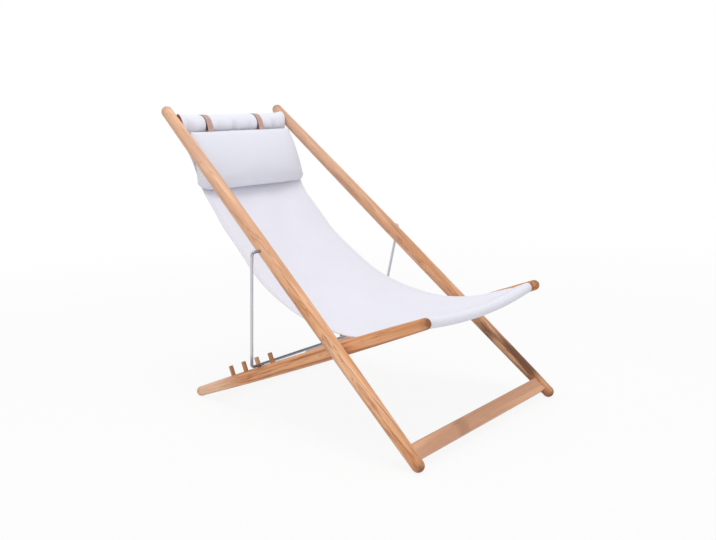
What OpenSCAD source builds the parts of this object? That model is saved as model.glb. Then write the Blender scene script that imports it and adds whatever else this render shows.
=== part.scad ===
// Folding sling lounge chair: two crossed wooden frames, a steel bail that
// drops between pegs, a cloth sling and a head pillow on two straps.
// X is the width, the sitter faces -Y, Z is up. The origin is on the floor
// under the middle of the chair.

/* [Back frame] */
// Length of the back frame from foot tip to top tip
rail_len = 1210; // [1150:5:1260]
// Distance between the long rails' centre lines at the feet
foot_span = 620; // [600:2:640]
// Distance between the long rails' centre lines at the top
top_span = 430; // [420:2:450]
// Lean of the back frame above the floor in degrees
back_angle = 41.2; // [39:0.2:43]
// Distance from the foot tip to the pivot
pivot_from_foot = 341; // [335:1:350]
// Thickness of a long rail near its ends
long_end_d = 30; // [29:0.5:32]
// Thickness of a long rail at its middle
long_mid_d = 37.2; // [36:0.2:38]

/* [Seat frame] */
// Length of the seat frame from rear tip to front tip
seat_len = 872; // [850:2:890]
// Distance from the rear tip to the pivot
pivot_from_rear = 612; // [600:1:620]
// How much each seat rail moves outward from rear to front
seat_taper = 27; // [20:1:30]
// Thickness of a seat rail near its ends
seat_end_d = 26.6; // [26:0.2:28]
// Thickness of a seat rail at its middle
seat_mid_d = 37; // [35:0.5:38]

/* [Cross pieces] */
// Diameter of the round bar in the top hem
top_bar_d = 27; // [24:1:28]
// Distance from the top tip to the top bar
top_bar_in = 54; // [50:1:60]
// Diameter of the bowed bar in the front hem
front_bar_d = 21; // [19:1:22]
// Distance from the front tip to the front bar
front_bar_in = 24; // [22:1:30]
// How far the front bar bows down at its middle
front_bar_bow = 16; // [8:1:20]
// Width of the flat stretcher boards
board_w = 38; // [34:1:42]
// Thickness of the flat stretcher boards
board_t = 16; // [14:1:17]
// Distance from the foot tip to the foot stretcher's middle
foot_board_in = 44; // [40:1:60]
// Distance from the rear tip to the rear stretcher's middle
rear_board_in = 62; // [55:1:80]

/* [Pivots] */
// Diameter of a pivot bolt's shank
bolt_d = 8; // [6:1:10]
// Diameter of a pivot bolt's round head
bolt_head_d = 16; // [14:1:16]
// Free space between a long rail and a seat rail at the pivot
pivot_gap = 3.6; // [3.4:0.1:4]
// Thickness of a pivot spacer
spacer_t = 2; // [1.6:0.1:2.2]
// Outer diameter of the threaded socket
insert_d = 12; // [11:0.5:13]

/* [Pegs] */
// Number of pegs on each seat rail
peg_count = 4; // [3:1:4]
// Diameter of a peg
peg_d = 12; // [10:0.5:13]
// Height of a peg above the rail
peg_h = 26; // [22:1:28]
// Distance from the rear tip to the first peg
first_peg = 172; // [160:2:180]
// Distance from one peg to the next
peg_pitch = 56; // [50:1:58]
// Peg that the bail rests against, counted from the rear
slot = 3; // [2:1:3]

/* [Bail] */
// Diameter of the bail's steel rod
rod_d = 8; // [7:0.5:9]
// Distance from the foot tip to the bail's hinge
bail_at = 669; // [650:1:690]
// Free space between the bail and a long rail at the hinge
bail_top_gap = 23; // [18:1:28]
// Free space between the bail and a seat rail at the cross rod
bail_low_gap = 12; // [8:1:16]
// Bend radius of the rod's centre line
bend_r = 10; // [9:1:12]
// Depth of the bail's ends in the long rails
bail_hole = 18; // [14:1:20]

/* [Sling] */
// Thickness of the sling cloth
cloth_t = 1.5; // [1.2:0.1:2]
// Half width of the sling at the top hem
sling_top = 199; // [192:1:200]
// Half width of the sling at the front hem
sling_front = 232; // [220:1:234]
// Sag near the top as a share of the hem distance
sag_top = 0.238; // [0.22:0.002:0.246]
// Sag at the middle as a share of the hem distance
sag_mid = 0.074; // [0.06:0.002:0.08]
// Sag towards the front as a share of the hem distance
sag_front = 0.482; // [0.46:0.002:0.49]
// Extra dip of the cloth at mid width
belly = 10; // [0:1:12]

/* [Pillow] */
// Width of the head pillow
pillow_w = 424; // [412:2:428]
// Length of the head pillow down the sling
pillow_len = 166; // [150:2:170]
// Thickness of the head pillow
pillow_t = 57; // [52:1:60]
// How far the pillow's top seam is in front of the top bar's centre line
pillow_fore = 36; // [34:1:40]
// How far the pillow's top seam is under the top bar's centre line
pillow_drop = 32; // [30:1:36]
// Lean of the pillow from level, in degrees
pillow_lean = 109; // [107:1:110]
// Width of a leather strap
strap_w = 20; // [16:1:22]
// Thickness of a leather strap
strap_t = 2; // [1.6:0.1:2.2]
// Distance between the two straps' middles
strap_span = 198; // [190:2:204]
// How far both straps sit from the middle
strap_shift = -20; // [-24:1:0]

/* [Hidden] */
$fn = 48;

wood = [0.80, 0.56, 0.36];
wood_dark = [0.70, 0.47, 0.29];
steel = [0.62, 0.63, 0.65];
brass = [0.76, 0.62, 0.34];
cloth = [0.93, 0.93, 0.96];
leather = [0.68, 0.49, 0.42];

// Clearances: inside one frame, on a running bore, and between moving pieces
fit = 0.05;
run = 0.08;
clear = 0.3;

// Rail radius at distance s from the first tip of a rail of length n
function body_r(s, n, e, m) = e / 2 + (m - e) / 2 * (1 - pow(2 * s / n - 1, 2));
function long_r(s) = body_r(s, rail_len, long_end_d, long_mid_d);
function seat_r(s) = body_r(s, seat_len, seat_end_d, seat_mid_d);
// Half spans at distance s along each frame
function long_x(s) = foot_span / 2 + (top_span - foot_span) / 2 * s / rail_len;
pivot_seat_x = long_x(pivot_from_foot) - long_r(pivot_from_foot)
    - seat_r(pivot_from_rear) - pivot_gap;
function seat_x(s) = pivot_seat_x + seat_taper * (s - pivot_from_rear) / seat_len;

// The pivot's height lets both frames stand on their domed ends
le = long_end_d / 2;
se = seat_end_d / 2;
pivot_z = le + (pivot_from_foot - le) * sin(back_angle);
seat_angle = asin((pivot_z - se) / (pivot_from_rear - se));
pivot_y = -(rail_len - 2 * pivot_from_foot) * cos(back_angle) / 2;

// Points of the side view, as [y, z]
function back_pt(s, n = 0) = [
    pivot_y + (s - pivot_from_foot) * cos(back_angle) - n * sin(back_angle),
    pivot_z + (s - pivot_from_foot) * sin(back_angle) + n * cos(back_angle)];
function seat_pt(s, n = 0) = [
    pivot_y + (pivot_from_rear - s) * cos(seat_angle) + n * sin(seat_angle),
    pivot_z - (pivot_from_rear - s) * sin(seat_angle) + n * cos(seat_angle)];

rod_r = rod_d / 2;
rod_at = first_peg + (slot - 1) * peg_pitch + peg_d / 2 + rod_r + clear;
hinge_pt = back_pt(bail_at);
rest_pt = seat_pt(rod_at, seat_r(rod_at) + rod_r + clear);
bail_len = norm(rest_pt - hinge_pt);
bail_dir = atan2(rest_pt[1] - hinge_pt[1], rest_pt[0] - hinge_pt[0]);
bail_top_x = long_x(bail_at) + long_r(bail_at) + bail_top_gap + rod_r;
bail_low_x = seat_x(rod_at) + seat_r(rod_at) + bail_low_gap + rod_r;

top_at = rail_len - top_bar_in;
front_at = seat_len - front_bar_in;
top_c = back_pt(top_at);
front_half = seat_x(front_at) - seat_r(front_at) - 1;
bow_r = (pow(front_half, 2) + pow(front_bar_bow, 2)) / (2 * front_bar_bow);
function bow_at(x) = -(sqrt(pow(bow_r, 2) - pow(x, 2)) - (bow_r - front_bar_bow));

// Places its children, drawn with Y up the back frame and Z on the sitter's side
module on_back() {
    translate([0, pivot_y, pivot_z])
    rotate([back_angle, 0, 0])
    children();
}

// Places its children, drawn with Y towards the rear tips and Z upward
module on_seat() {
    translate([0, pivot_y, pivot_z])
    rotate([-seat_angle, 0, 0])
    children();
}

// A turned rail along Z from tip to tip
module turned_rail(n, e, m, real_len) {
    dome = e / 2;
    k = real_len / n;
    low = [for (a = [0:15:75]) let (s = dome * (1 - cos(a))) [body_r(s, n, e, m) * sin(a), s]];
    mid = [for (i = [0:16]) let (s = dome + (n - 2 * dome) * i / 16) [body_r(s, n, e, m), s * k]];
    high = [for (a = [75:-15:0]) let (s = n - dome * (1 - cos(a)))
        [body_r(s, n, e, m) * sin(a), s * k]];
    rotate_extrude($fn = 64)
    polygon(concat(low, mid, high));
}

module long_rail(side) {
    lean = atan((foot_span - top_span) / 2 / rail_len);
    pin_x = long_x(pivot_from_foot) - long_r(pivot_from_foot);
    on_back()
    difference() {
        translate([side * foot_span / 2, -pivot_from_foot, 0])
        rotate([0, 0, side * lean])
        rotate([-90, 0, 0])
        turned_rail(rail_len, long_end_d, long_mid_d, rail_len / cos(lean));
        // Blind socket of the threaded insert
        translate([side * (pin_x + 10), 0, 0])
        rotate([0, 90, 0])
        cylinder(d = insert_d + 2 * fit, h = 24, center = true);
        // Blind hole of the bail's end, open on the outboard side
        translate([side * (long_x(bail_at) + long_r(bail_at) + 10 - bail_hole / 2 - 1),
            bail_at - pivot_from_foot, 0])
        rotate([0, 90, 0])
        cylinder(d = rod_d + 2 * run, h = bail_hole + 22, center = true);
        // Socket of the top bar's tenon
        translate([side * (long_x(top_at) - 10), top_at - pivot_from_foot, 0])
        rotate([0, 90, 0])
        cylinder(d = tenon_d() + 2 * fit, h = 32, center = true);
        // Slot of the foot stretcher
        translate([side * (long_x(foot_board_in) - 14), foot_board_in - pivot_from_foot, 0])
        cube([30, board_w + 2 * fit, board_t + 2 * fit], center = true);
    }
}

function tenon_d() = 16;

module seat_rail(side) {
    lean = atan(seat_taper / seat_len);
    on_seat()
    difference() {
        translate([side * seat_x(0), pivot_from_rear, 0])
        rotate([0, 0, side * lean])
        rotate([90, 0, 0])
        turned_rail(seat_len, seat_end_d, seat_mid_d, seat_len / cos(lean));
        // Running bore of the pivot bolt
        translate([side * pivot_seat_x, 0, 0])
        rotate([0, 90, 0])
        cylinder(d = bolt_d + 2 * run, h = 60, center = true);
        // Socket of the front bar's tenon
        translate([side * (seat_x(front_at) - 8), pivot_from_rear - front_at, 0])
        rotate([0, 90, 0])
        cylinder(d = 13 + 2 * fit, h = 24, center = true);
        // Slot of the rear stretcher
        translate([side * (seat_x(rear_board_in) - 13), pivot_from_rear - rear_board_in, 0])
        cube([28, board_w + 2 * fit, board_t + 2 * fit], center = true);
        // Sockets of the pegs
        for (i = [0:peg_count - 1])
            translate([side * seat_x(first_peg + i * peg_pitch),
                pivot_from_rear - first_peg - i * peg_pitch, -4])
            cylinder(d = peg_d + 2 * fit, h = 40);
    }
}

module long_rail_left() {
    color(wood) long_rail(-1);
}

module long_rail_right() {
    color(wood) long_rail(1);
}

module seat_rail_left() {
    color(wood) seat_rail(-1);
}

module seat_rail_right() {
    color(wood) seat_rail(1);
}

// Round bar with a slimmer tenon at each end
module top_bar() {
    shoulder = long_x(top_at) - long_r(top_at) - 1.4;
    color(wood)
    on_back()
    translate([0, top_at - pivot_from_foot, 0])
    rotate([0, 90, 0])
    union() {
        cylinder(d = top_bar_d, h = 2 * shoulder, center = true);
        cylinder(d = tenon_d(), h = 2 * (long_x(top_at) + 5), center = true);
    }
}

// Bar on a long arc, with straight tenons
module front_bar() {
    half = asin(front_half / bow_r);
    color(wood)
    on_seat()
    translate([0, pivot_from_rear - front_at, 0])
    union() {
        translate([0, 0, bow_r - front_bar_bow])
        rotate([90, 0, 0])
        rotate([0, 0, -90 - half])
        rotate_extrude(angle = 2 * half, $fn = 960)
        translate([bow_r, 0])
        circle(d = front_bar_d, $fn = 40);
        for (side = [-1, 1])
            translate([side * (front_half + 2), 0, 0])
            rotate([0, 90, 0])
            cylinder(d = 13, h = 14, center = true);
    }
}

module stretcher(half) {
    cube([2 * half, board_w, board_t], center = true);
}

module foot_stretcher() {
    color(wood_dark)
    on_back()
    translate([0, foot_board_in - pivot_from_foot, 0])
    stretcher(long_x(foot_board_in) - 1);
}

module rear_stretcher() {
    color(wood_dark)
    on_seat()
    translate([0, pivot_from_rear - rear_board_in, 0])
    stretcher(seat_x(rear_board_in) - 1);
}

// Peg with a small bevel at its top
module peg(side, i) {
    s = first_peg + (i - 1) * peg_pitch;
    top = seat_r(s) + peg_h;
    color(wood_dark)
    on_seat()
    translate([side * seat_x(s), pivot_from_rear - s, -4])
    union() {
        cylinder(d = peg_d, h = top + 4 - 1.2);
        translate([0, 0, top + 4 - 1.2])
        cylinder(d1 = peg_d, d2 = peg_d - 2.4, h = 1.2);
    }
}

module peg_left_1() {
    peg(-1, 1);
}

module peg_left_2() {
    peg(-1, 2);
}

module peg_left_3() {
    peg(-1, 3);
}

module peg_left_4() {
    peg(-1, 4);
}

module peg_right_1() {
    peg(1, 1);
}

module peg_right_2() {
    peg(1, 2);
}

module peg_right_3() {
    peg(1, 3);
}

module peg_right_4() {
    peg(1, 4);
}

// Bolt with a round head against the seat rail's inboard side
module pivot_bolt(side) {
    head_x = pivot_seat_x - seat_r(pivot_from_rear) - clear - 0.3;
    tip_x = long_x(pivot_from_foot) - long_r(pivot_from_foot) + 18;
    color(steel)
    on_back()
    rotate([0, side * 90, 0])
    union() {
        translate([0, 0, head_x])
        cylinder(d = bolt_d, h = tip_x - head_x);
        translate([0, 0, head_x - 3])
        cylinder(d = bolt_head_d, h = 3);
        translate([0, 0, head_x - 5])
        cylinder(d1 = bolt_head_d - 6, d2 = bolt_head_d, h = 2);
    }
}

module pivot_bolt_left() {
    pivot_bolt(-1);
}

module pivot_bolt_right() {
    pivot_bolt(1);
}

module pivot_spacer(side) {
    mid_x = pivot_seat_x + seat_r(pivot_from_rear) + pivot_gap / 2 + 0.1;
    color(steel)
    on_back()
    translate([side * mid_x, 0, 0])
    rotate([0, 90, 0])
    difference() {
        cylinder(d = 16, h = spacer_t, center = true);
        cylinder(d = bolt_d + 2 * fit, h = spacer_t + 2, center = true);
    }
}

module pivot_spacer_left() {
    pivot_spacer(-1);
}

module pivot_spacer_right() {
    pivot_spacer(1);
}

module pivot_insert(side) {
    mid_x = long_x(pivot_from_foot) - long_r(pivot_from_foot) + 12;
    color(brass)
    on_back()
    translate([side * mid_x, 0, 0])
    rotate([0, 90, 0])
    difference() {
        cylinder(d = insert_d, h = 18, center = true);
        cylinder(d = bolt_d + 2 * fit, h = 20, center = true);
    }
}

module pivot_insert_left() {
    pivot_insert(-1);
}

module pivot_insert_right() {
    pivot_insert(1);
}

// Bend of the rod round the origin from angle 0, its ends just inside the straights
module rod_bend(turn) {
    rotate([0, 0, -1])
    rotate_extrude(angle = turn + 2, $fn = 96)
    translate([bend_r, 0])
    circle(d = rod_d - 0.04, $fn = 24);
}

// Bent rod, drawn in its own plane with Y down the legs
module bail() {
    splay = atan((bail_top_x - bail_low_x) / bail_len);
    t1 = bend_r * tan((90 + splay) / 2);
    t2 = bend_r * tan((90 - splay) / 2);
    leg = norm([bail_top_x - bail_low_x, bail_len]) - t1 - t2;
    end_x = long_x(bail_at) + long_r(bail_at) - bail_hole + 1;
    color(steel)
    translate([0, hinge_pt[0], hinge_pt[1]])
    rotate([bail_dir, 0, 0])
    union() {
        for (side = [0, 1])
            mirror([side, 0, 0])
            union() {
                // Inturned end
                translate([end_x, 0, 0])
                rotate([0, 90, 0])
                cylinder(d = rod_d, h = bail_top_x - t1 - end_x, $fn = 24);
                // Upper bend
                translate([bail_top_x - t1, bend_r, 0])
                rotate([0, 0, -90])
                rod_bend(90 + splay);
                // Leg
                translate([bail_top_x - t1 * sin(splay), t1 * cos(splay), 0])
                rotate([0, 0, splay])
                rotate([-90, 0, 0])
                cylinder(d = rod_d, h = leg, $fn = 24);
                // Lower bend
                translate([bail_low_x - t2, bail_len - bend_r, 0])
                rotate([0, 0, splay])
                rod_bend(90 - splay);
            }
        // Cross rod
        translate([0, bail_len, 0])
        rotate([0, 90, 0])
        cylinder(d = rod_d, h = 2 * (bail_low_x - t2), center = true, $fn = 24);
    }
}

// Sling: a strip of cloth with a closed sleeve round each bar
ring_n = 14;
strip_n = 20;
// The sleeves' flats stay clear of the bars
top_ro = (top_bar_d / 2 + clear) / cos(180 / (ring_n - 1)) + cloth_t;
front_ro = (front_bar_d / 2 + 2 * clear) / cos(180 / (ring_n - 1)) + cloth_t;
leave = -93;
arrive = 35;
window_a = strap_shift - strap_span / 2;
window_b = strap_shift + strap_span / 2;
window_h = strap_w / 2 + 1.2;
// Stations across the width, as shares of the half width at the top hem
stations = [-1, -0.82, (window_a - window_h) / sling_top, (window_a + window_h) / sling_top,
    -0.3, 0, 0.2, (window_b - window_h) / sling_top, (window_b + window_h) / sling_top,
    0.78, 1];
windows = [2, 7];

function unit(a) = [cos(a), sin(a)];
function turn_front(t) = [t[1], -t[0]];
function quart(t, p) = pow(1 - t, 4) * p[0] + 4 * pow(1 - t, 3) * t * p[1]
    + 6 * pow(1 - t, 2) * t * t * p[2] + 4 * (1 - t) * pow(t, 3) * p[3] + pow(t, 4) * p[4];
function front_c(x) = seat_pt(front_at, bow_at(x));
// Pull points of the side view curve for a hem centre c2 at the front
function pulls(c2) =
    let (a = top_c + top_ro * unit(leave))
    let (d = c2 + front_ro * unit(arrive))
    let (e = (d - a) / norm(d - a), m = [-e[1], e[0]], h = norm(d - a))
    [a, a + h * (0.212 * e + sag_top * m), a + h * (0.215 * e + sag_mid * m),
        a + h * (0.614 * e + sag_front * m), d];
// Share of the half width at t along the curve: drawn in below the hem
function sling_half(t) = sling_top + (sling_front - sling_top) * t
    - 22 * pow(sin(180 * pow(1 - t, 1.6)), 1.5);
function sling_pt(t, x, c2) = quart(t, pulls(c2))
    - [0, belly * sin(180 * t) * (1 - pow(x, 2))];
function sling_n(t, x, c2) =
    let (q = sling_pt(min(t + 0.01, 1), x, c2) - sling_pt(max(t - 0.01, 0), x, c2))
    turn_front(q / norm(q));
// Angles of a sleeve's points, the first gap as narrow as the cloth
function ring_a(k, start, ro) =
    let (w = asin(cloth_t / 2 / ro))
    k == 0 ? start - w : start + w + (360 - 2 * w) * (k - 1) / (ring_n - 1);

// Share of the curve at row i: the first row is short, for the strap windows
function row_t(i) = i < 1 ? 0 : 0.012 + 0.988 * (i - 1) / (strip_n - 1);

// All points of the section at station f, as [x, y, z]
function section(f) =
    let (xt = f * sling_top, xf = f * sling_front, c2 = front_c(xf))
    concat(
        [for (k = [0:ring_n - 1])
            let (p = top_c + top_ro * unit(ring_a(k, leave, top_ro))) [xt, p[0], p[1]]],
        [for (k = [0:ring_n - 1])
            let (p = top_c + (top_ro - cloth_t) * unit(ring_a(k, leave, top_ro)))
            [xt, p[0], p[1]]],
        [for (i = [1:strip_n - 1], s = [1, -1])
            let (t = row_t(i), x = f * sling_half(t))
            let (p = sling_pt(t, f, c2) + s * cloth_t / 2 * sling_n(t, f, c2)) [x, p[0], p[1]]],
        [for (k = [0:ring_n - 1])
            let (p = c2 + front_ro * unit(ring_a(k, arrive, front_ro))) [xf, p[0], p[1]]],
        [for (k = [0:ring_n - 1])
            let (p = c2 + (front_ro - cloth_t) * unit(ring_a(k, arrive, front_ro)))
            [xf, p[0], p[1]]]);
sec_n = 4 * ring_n + 2 * (strip_n - 1);
at_o1 = 0;
at_i1 = ring_n;
at_strip = 2 * ring_n;
at_o2 = at_strip + 2 * (strip_n - 1);
at_i2 = at_o2 + ring_n;
// Index of the strip's front (0) or rear (1) point at row i
function strip_at(i, b) = i == 0 ? at_o1 + b
    : i == strip_n ? at_o2 + 1 - b : at_strip + 2 * (i - 1) + b;
function next(k) = (k + 1) % ring_n;
function tri(a, b, c, d) = [[a, b, c], [a, c, d]];
function flip(q) = [for (t = q) [t[2], t[1], t[0]]];
function is_window(g) = len([for (w = windows) if (w == g) 1]) > 0;
// Skin between stations g and g + 1, along the line from point p to point q
function skin(g, p, q) = tri(g * sec_n + p, (g + 1) * sec_n + p,
    (g + 1) * sec_n + q, g * sec_n + q);
// Cross cut of one cell at station g
function cut(g, a, b, c, d) = tri(g * sec_n + a, g * sec_n + b, g * sec_n + c, g * sec_n + d);
function top_cells() = concat(
    [for (k = [0:ring_n - 1]) [at_i1 + k, at_o1 + k, at_o1 + next(k), at_i1 + next(k)]],
    [[strip_at(0, 1), strip_at(0, 0), strip_at(1, 0), strip_at(1, 1)]]);
function low_cells() = concat(
    [for (i = [1:strip_n - 1])
        [strip_at(i, 1), strip_at(i, 0), strip_at(i + 1, 0), strip_at(i + 1, 1)]],
    [for (k = [0:ring_n - 1]) [at_i2 + k, at_o2 + k, at_o2 + next(k), at_i2 + next(k)]]);
function gap_skin(g) = concat(
    is_window(g) ? skin(g, strip_at(1, 1), strip_at(1, 0)) : concat(
        [for (k = [0:ring_n - 1]) each flip(skin(g, at_i1 + k, at_i1 + next(k)))],
        [for (k = [1:ring_n - 1]) each skin(g, at_o1 + k, at_o1 + next(k))],
        skin(g, strip_at(0, 0), strip_at(1, 0)),
        flip(skin(g, strip_at(0, 1), strip_at(1, 1)))),
    [for (i = [1:strip_n - 1]) each concat(
        skin(g, strip_at(i, 0), strip_at(i + 1, 0)),
        flip(skin(g, strip_at(i, 1), strip_at(i + 1, 1))))],
    [for (k = [0:ring_n - 1]) each flip(skin(g, at_i2 + k, at_i2 + next(k)))],
    [for (k = [1:ring_n - 1]) each skin(g, at_o2 + k, at_o2 + next(k))]);
function cuts(g) = [for (c = top_cells()) each cut(g, c[0], c[1], c[2], c[3])];
last = len(stations) - 1;

module sling() {
    ends = [for (c = low_cells()) each cut(0, c[0], c[1], c[2], c[3])];
    far = [for (c = low_cells()) each flip(cut(last, c[0], c[1], c[2], c[3]))];
    faces = concat(
        ends, far, cuts(0), flip(cuts(last)),
        [for (g = [0:last - 1]) each gap_skin(g)],
        [for (w = windows) each flip(cuts(w))],
        [for (w = windows) each cuts(w + 1)]);
    color(cloth)
    polyhedron([for (f = stations) each section(f)], faces, convexity = 6);
}

// Pillow: lies on the sling's face below the top hem
pillow_top = top_c - [pillow_fore, pillow_drop];
p_u = 14;
p_v = 12;
seam_t = 3;
front_share = 0.55;
function fat(v) = sqrt(max(0, sin(180 * pow(v, 1.2))));
function wide(u, p) = pow(1 - pow(abs(u), p), 0.55);
// Half width of the outline: widest at the lower corners
function outline(v) = pillow_w / 2 - 7 * pow(1 - v, 8) - 10 * (1 - pow(v, 3));
// Level of the seam: the lower corners hang back towards the sling
function seam(u, v) = v * (3 - 12 * pow(abs(u), 3));
function pillow_pt(i, j, front) =
    let (u = sin(90 * (2 * i / p_u - 1)), v = j / p_v)
    let (n = seam(u, v) + (front ? seam_t / 2 + front_share * pillow_t * wide(u, 8) * fat(v)
        : -seam_t / 2 - (1 - front_share) * pillow_t * wide(u, 6) * fat(v)))
    let (y = v * pillow_len * (1 - 0.12 * pow(abs(u), 14)))
    [u * outline(v), pillow_top[0] + y * cos(pillow_lean) - n * sin(pillow_lean),
        pillow_top[1] - y * sin(pillow_lean) - n * cos(pillow_lean)];

module pillow() {
    row = p_u + 1;
    half = row * (p_v + 1);
    pts = [for (front = [true, false], j = [0:p_v], i = [0:p_u]) pillow_pt(i, j, front)];
    rim = concat([for (i = [0:p_u - 1]) [i, i + 1]],
        [for (j = [0:p_v - 1]) [p_u + j * row, p_u + (j + 1) * row]],
        [for (i = [p_u:-1:1]) [p_v * row + i, p_v * row + i - 1]],
        [for (j = [p_v:-1:1]) [j * row, (j - 1) * row]]);
    faces = concat(
        [for (j = [0:p_v - 1], i = [0:p_u - 1])
            each tri(j * row + i, j * row + i + 1, (j + 1) * row + i + 1, (j + 1) * row + i)],
        [for (j = [0:p_v - 1], i = [0:p_u - 1])
            each flip(tri(half + j * row + i, half + j * row + i + 1,
                half + (j + 1) * row + i + 1, half + (j + 1) * row + i))],
        [for (e = rim) each tri(e[1], e[0], half + e[0], half + e[1])]);
    color(cloth)
    polyhedron(pts, faces, convexity = 4);
}

// Leather loop round the top bar, drawn in to the pillow's top seam
module pillow_strap(x) {
    ri = top_bar_d / 2 + clear;
    ro = ri + strap_t;
    tip = (1 - (0.8 * strap_t + clear) / norm(pillow_top - top_c)) * (pillow_top - top_c);
    far = norm(tip);
    to = atan2(tip[1], tip[0]);
    a_o = acos((ro - strap_t) / far);
    a_i = acos(ri / far);
    color(leather)
    translate([x - strap_w / 2, top_c[0], top_c[1]])
    rotate([90, 0, 90])
    linear_extrude(strap_w)
    difference() {
        union() {
            circle(r = ro);
            polygon([ro * unit(to - a_o), tip + strap_t * unit(to - a_o),
                tip + strap_t * unit(to + a_o), ro * unit(to + a_o)]);
        }
        circle(r = ri);
        polygon([ri * unit(to - a_i), tip - 4 * unit(to), ri * unit(to + a_i)]);
    }
}

module pillow_strap_left() {
    pillow_strap(window_a);
}

module pillow_strap_right() {
    pillow_strap(window_b);
}

seat_rail_left();
seat_rail_right();
front_bar();
rear_stretcher();
peg_left_1();
peg_left_2();
peg_left_3();
peg_left_4();
peg_right_1();
peg_right_2();
peg_right_3();
peg_right_4();
long_rail_left();
long_rail_right();
top_bar();
foot_stretcher();
pivot_bolt_left();
pivot_bolt_right();
pivot_spacer_left();
pivot_spacer_right();
pivot_insert_left();
pivot_insert_right();
bail();
sling();
pillow();
pillow_strap_left();
pillow_strap_right();
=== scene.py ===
# %% [markdown]
# # A folding sling lounge chair
# The chair is two crossed wooden frames with a cloth sling between them. A
# bent steel rod sets how far it leans back, and a small head pillow hangs
# from the top bar on two leather straps. The wooden and metal pieces come
# from the CAD model as they are and only get their finish here. The cloth,
# the pillow and the straps are modelled here, each in the place of its
# plain CAD solid.

# %% Load the chair's frame
import math

import bpy
from mathutils import Matrix, Vector


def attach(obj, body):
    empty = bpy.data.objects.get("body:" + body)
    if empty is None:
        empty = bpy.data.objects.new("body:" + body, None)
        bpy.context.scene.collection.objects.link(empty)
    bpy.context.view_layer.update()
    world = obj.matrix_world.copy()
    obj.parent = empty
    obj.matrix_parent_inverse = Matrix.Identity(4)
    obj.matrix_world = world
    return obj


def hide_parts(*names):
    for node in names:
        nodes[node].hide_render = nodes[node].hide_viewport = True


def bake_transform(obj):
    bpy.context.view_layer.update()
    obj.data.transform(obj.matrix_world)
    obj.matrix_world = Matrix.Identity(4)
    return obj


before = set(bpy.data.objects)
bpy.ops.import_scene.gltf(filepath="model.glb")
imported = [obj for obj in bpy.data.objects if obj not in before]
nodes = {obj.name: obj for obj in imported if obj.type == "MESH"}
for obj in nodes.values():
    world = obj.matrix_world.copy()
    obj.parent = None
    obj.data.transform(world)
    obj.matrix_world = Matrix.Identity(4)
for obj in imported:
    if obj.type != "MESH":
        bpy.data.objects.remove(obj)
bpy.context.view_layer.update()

# %% [markdown]
# ## The camera
# The photograph is taken from in front of the chair, on the sitter's right,
# at about the height of the head bar. The eye point, the heading and the
# lens were worked out from the rails' ends and crossings, so the camera is
# set once with a rotation matrix: right, up and backwards are its three
# columns.

# %% Place the camera
EYE = Vector((-1.76534, -1.47552, 0.77528))
HEADING, TILT, ROLL = (math.radians(a) for a in (39.137, -10.277, -1.563))
FOCAL_PX, IMAGE_W, SENSOR_MM = 865.93, 716, 36

ahead = Vector((math.cos(TILT) * math.cos(HEADING),
                math.cos(TILT) * math.sin(HEADING), math.sin(TILT)))
right = ahead.cross(Vector((0, 0, 1))).normalized()
up = right.cross(ahead)
right, up = (math.cos(ROLL) * right + math.sin(ROLL) * up,
             math.cos(ROLL) * up - math.sin(ROLL) * right)
turn = Matrix((right, up, -ahead)).transposed().to_4x4()
bpy.ops.object.camera_add()
camera = bpy.context.object
camera.name = "camera"
camera.matrix_world = Matrix.Translation(EYE) @ turn
camera.data.sensor_fit = "HORIZONTAL"
camera.data.sensor_width = SENSOR_MM
camera.data.lens = FOCAL_PX / IMAGE_W * SENSOR_MM
bpy.context.scene.camera = camera
print("lens", round(camera.data.lens, 2), "mm")

# %% [markdown]
# ## Writing materials as sums
# A wood or cloth finish is mostly arithmetic on noise. This small class
# wraps a node's output socket, so that + - * on it add the Math nodes and
# the recipe reads like a formula.

# %% A socket that can be added and multiplied
class Value:
    def __init__(self, book, socket):
        self.book, self.socket = book, socket

    def _math(self, operation, a, b):
        return self.book.node("ShaderNodeMath", {"operation": operation},
                              {0: a, 1: b}).out(0)

    def __add__(self, other):
        return self._math("ADD", self, other)

    def __radd__(self, other):
        return self._math("ADD", other, self)

    def __sub__(self, other):
        return self._math("SUBTRACT", self, other)

    def __rsub__(self, other):
        return self._math("SUBTRACT", other, self)

    def __mul__(self, other):
        return self._math("MULTIPLY", self, other)

    def __rmul__(self, other):
        return self._math("MULTIPLY", other, self)

    def call(self, operation, other=0.0):
        return self._math(operation, self, other)


class Made:
    """A node that was just made; out() wraps one of its outputs."""

    def __init__(self, book, node):
        self.book, self.made = book, node

    def out(self, key):
        return Value(self.book, self.made.outputs[key])


print("values can be added, subtracted and multiplied")

# %% [markdown]
# A material's nodes are written like entries in a book: node() takes the
# type, the settings and the inputs of any node, and a few shorter methods
# stand for those that come back often.

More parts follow.
